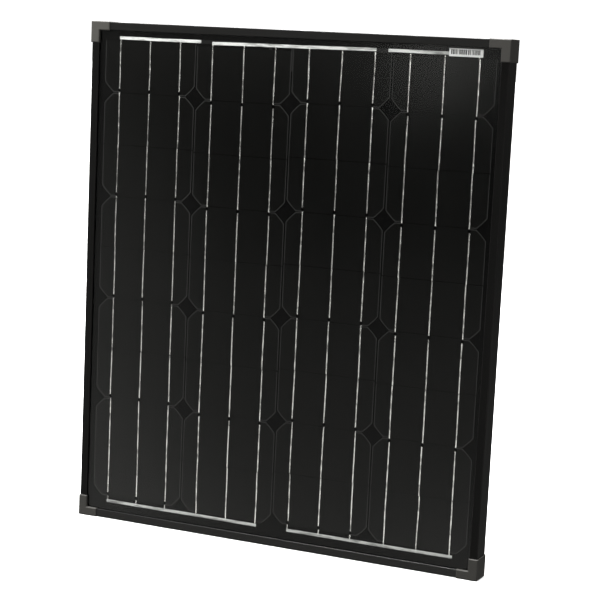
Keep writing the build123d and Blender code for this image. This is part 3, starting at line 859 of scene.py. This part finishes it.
def make_camera():
    """Camera in front of the panel's right side, a little above its middle."""
    azimuth, drop = math.radians(CAMERA_AZIMUTH), math.radians(CAMERA_DROP)
    ahead = math.cos(drop)
    forward = Vector((-math.sin(azimuth) * ahead, math.cos(azimuth) * ahead, -math.sin(drop)))
    level = Vector((math.cos(azimuth), math.sin(azimuth), 0.0))
    right = Matrix.Rotation(-math.radians(CAMERA_ROLL), 3, forward) @ level
    up = right.cross(forward)
    turn = Matrix((right, up, -forward)).transposed()
    data = bpy.data.cameras.new("camera")
    data.sensor_width = CAMERA_SENSOR
    data.lens = CAMERA_LENS
    data.shift_x = -CAMERA_SHIFT
    data.shift_y = CAMERA_SHIFT
    camera = bpy.data.objects.new("camera", data)
    camera.matrix_world = Matrix.Translation(CAMERA_PLACE) @ turn.to_4x4()
    bpy.context.scene.collection.objects.link(camera)
    bpy.context.scene.camera = camera


def make_floor(mats):
    """Wide round floor in rings, under the panel."""
    bm = bmesh.new()
    centre = bm.verts.new((0, 0, 0))
    rings = []
    for radius in FLOOR_RINGS:
        angles = turn_angles(FLOOR_STEPS)
        rings.append([bm.verts.new((radius * math.cos(a), radius * math.sin(a), 0)) for a in angles])
    for i in range(FLOOR_STEPS):
        j = (i + 1) % FLOOR_STEPS
        bm.faces.new((centre, rings[0][i], rings[0][j]))
        for inner, outer in zip(rings, rings[1:]):
            bm.faces.new((inner[i], outer[i], outer[j], inner[j]))
    mesh = bpy.data.meshes.new("studio_floor")
    bm.to_mesh(mesh)
    bm.free()
    mesh.materials.append(mats["floor"])
    floor = bpy.data.objects.new("studio_floor", mesh)
    bpy.context.scene.collection.objects.link(floor)
    floor.visible_glossy = False
    floor.visible_diffuse = False


def place_lamp(name, data, place, target):
    """Puts a light at a place in metres, pointing at a target."""
    lamp = bpy.data.objects.new(name, data)
    lamp.location = place
    lamp.rotation_euler = (Vector(target) - Vector(place)).to_track_quat("-Z", "Y").to_euler()
    bpy.context.scene.collection.objects.link(lamp)
    return lamp


def sun_light(name, place, target, strength, spread):
    data = bpy.data.lights.new(name, "SUN")
    data.energy = strength
    data.angle = math.radians(spread)
    return place_lamp(name, data, place, target)


def area_light(name, place, target, side, power):
    """Square light; its side is in metres and its power in watts."""
    data = bpy.data.lights.new(name, "AREA")
    data.shape = "RECTANGLE"
    data.size = side
    data.size_y = side
    data.energy = power
    return place_lamp(name, data, place, target)


def make_lights():
    """Even light from overhead, a softbox near the top left corner and one behind."""
    sun_light("overhead", (-0.3, -0.001, 4.0), (0, 0, 0), strength=10.0, spread=20.0)
    softbox = area_light("softbox", (-0.72, -0.95, 1.35), (0, 0, 0.5), side=0.45, power=26.0)
    softbox.visible_glossy = False
    area_light("back", (-1.2, 2.6, 2.0), (0, 0, 0.4), side=1.8, power=260.0)


# --- room -----------------------------------------------------------------------------------------

def smooth_ramp(tree, value, start, end, low, high):
    """Smooth step of a value from low at start to high at end."""
    made = tree.nodes.new("ShaderNodeMapRange")
    made.interpolation_type = "SMOOTHSTEP"
    tree.links.new(value, made.inputs["Value"])
    limits = {"From Min": start, "From Max": end, "To Min": low, "To Max": high}
    for name, number in limits.items():
        made.inputs[name].default_value = number
    return made.outputs["Result"]


def combine(tree, operation, first, second):
    """Maths on two outputs."""
    made = tree.nodes.new("ShaderNodeMath")
    made.operation = operation
    tree.links.new(first, made.inputs[0])
    tree.links.new(second, made.inputs[1])
    return made.outputs[0]


def room_levels(tree, height_of_ray, levels):
    """Sum of smooth steps from each level to the next."""
    total = None
    for (start, low), (end, high) in zip(levels, levels[1:]):
        first = low if total is None else 0.0
        step = smooth_ramp(tree, height_of_ray, start, end, first, first + high - low)
        total = step if total is None else combine(tree, "ADD", total, step)
    return total


def nearness_to(tree, direction, azimuth, elevation):
    """Cosine of the angle between a ray and a direction in front, by azimuth to the left."""
    a, e = math.radians(azimuth), math.radians(elevation)
    dot = tree.nodes.new("ShaderNodeVectorMath")
    dot.operation = "DOT_PRODUCT"
    tree.links.new(direction, dot.inputs[0])
    dot.inputs[1].default_value = (-math.sin(a) * math.cos(e), -math.cos(a) * math.cos(e), math.sin(e))
    return dot.outputs["Value"]


def rise_round(tree, direction, azimuth, elevation, start, full, strength):
    """Smooth rise between two radii round a direction: nothing at start, strength at full."""
    nearness = nearness_to(tree, direction, azimuth, elevation)
    limits = math.cos(math.radians(start)), math.cos(math.radians(full))
    return smooth_ramp(tree, nearness, *limits, 0.0, strength)


def room_strength(tree):
    """Brightness of the room in the direction of a ray."""
    direction = tree.nodes.new("ShaderNodeTexCoord").outputs["Generated"]
    parts = tree.nodes.new("ShaderNodeSeparateXYZ")
    tree.links.new(direction, parts.inputs["Vector"])
    total = room_levels(tree, parts.outputs["Z"], ROOM_LEVELS)
    beside = rise_round(tree, direction, MIRRORED_AZIMUTH, 0.0, SIDE_START, SIDE_FULL, 1.0)
    side = combine(tree, "MULTIPLY", beside, room_levels(tree, parts.outputs["Z"], SIDE_LEVELS))
    total = combine(tree, "ADD", total, side)
    in_front = smooth_ramp(tree, parts.outputs["Y"], FRONT_START, FRONT_FULL, ROOM_BEHIND, 1.0)
    total = combine(tree, "MULTIPLY", total, in_front)
    spreading = tree.nodes.new("ShaderNodeLightPath").outputs["Is Diffuse Ray"]
    total = combine(tree, "MULTIPLY", total, smooth_ramp(tree, spreading, 0.0, 1.0, 1.0, ROOM_SPREAD))
    for patch in ROOM_PATCHES:
        total = combine(tree, "ADD", total, rise_round(tree, direction, *patch))
    return total


def make_world():
    """Room that the glass mirrors, dark at eye level and paler below, behind a plain white backdrop."""
    world = bpy.data.worlds.new("studio")
    bpy.context.scene.world = world
    world.use_nodes = True
    tree = world.node_tree
    tree.nodes.clear()
    room = tree.nodes.new("ShaderNodeBackground")
    room.inputs["Color"].default_value = ROOM_COLOUR
    tree.links.new(room_strength(tree), room.inputs["Strength"])
    backdrop = tree.nodes.new("ShaderNodeBackground")
    backdrop.inputs["Color"].default_value = (1.0, 1.0, 1.0, 1.0)
    backdrop.inputs["Strength"].default_value = BACKDROP
    seen = tree.nodes.new("ShaderNodeLightPath").outputs["Is Camera Ray"]
    mixed = tree.nodes.new("ShaderNodeMixShader")
    tree.links.new(seen, mixed.inputs[0])
    tree.links.new(room.outputs[0], mixed.inputs[1])
    tree.links.new(backdrop.outputs[0], mixed.inputs[2])
    tree.links.new(mixed.outputs[0], tree.nodes.new("ShaderNodeOutputWorld").inputs["Surface"])


def main():
    mats = make_materials()
    make_camera()
    make_world()
    make_lights()
    make_floor(mats)
    make_frame(mats)
    make_glass(mats)
    make_cells(mats)
    make_ribbons(mats)
    make_buses(mats)
    make_clearings(mats)
    make_serial_label(mats)
    make_box(mats)
    dress_nodes(mats)
    bpy.context.scene.view_settings.view_transform = "Standard"


main()
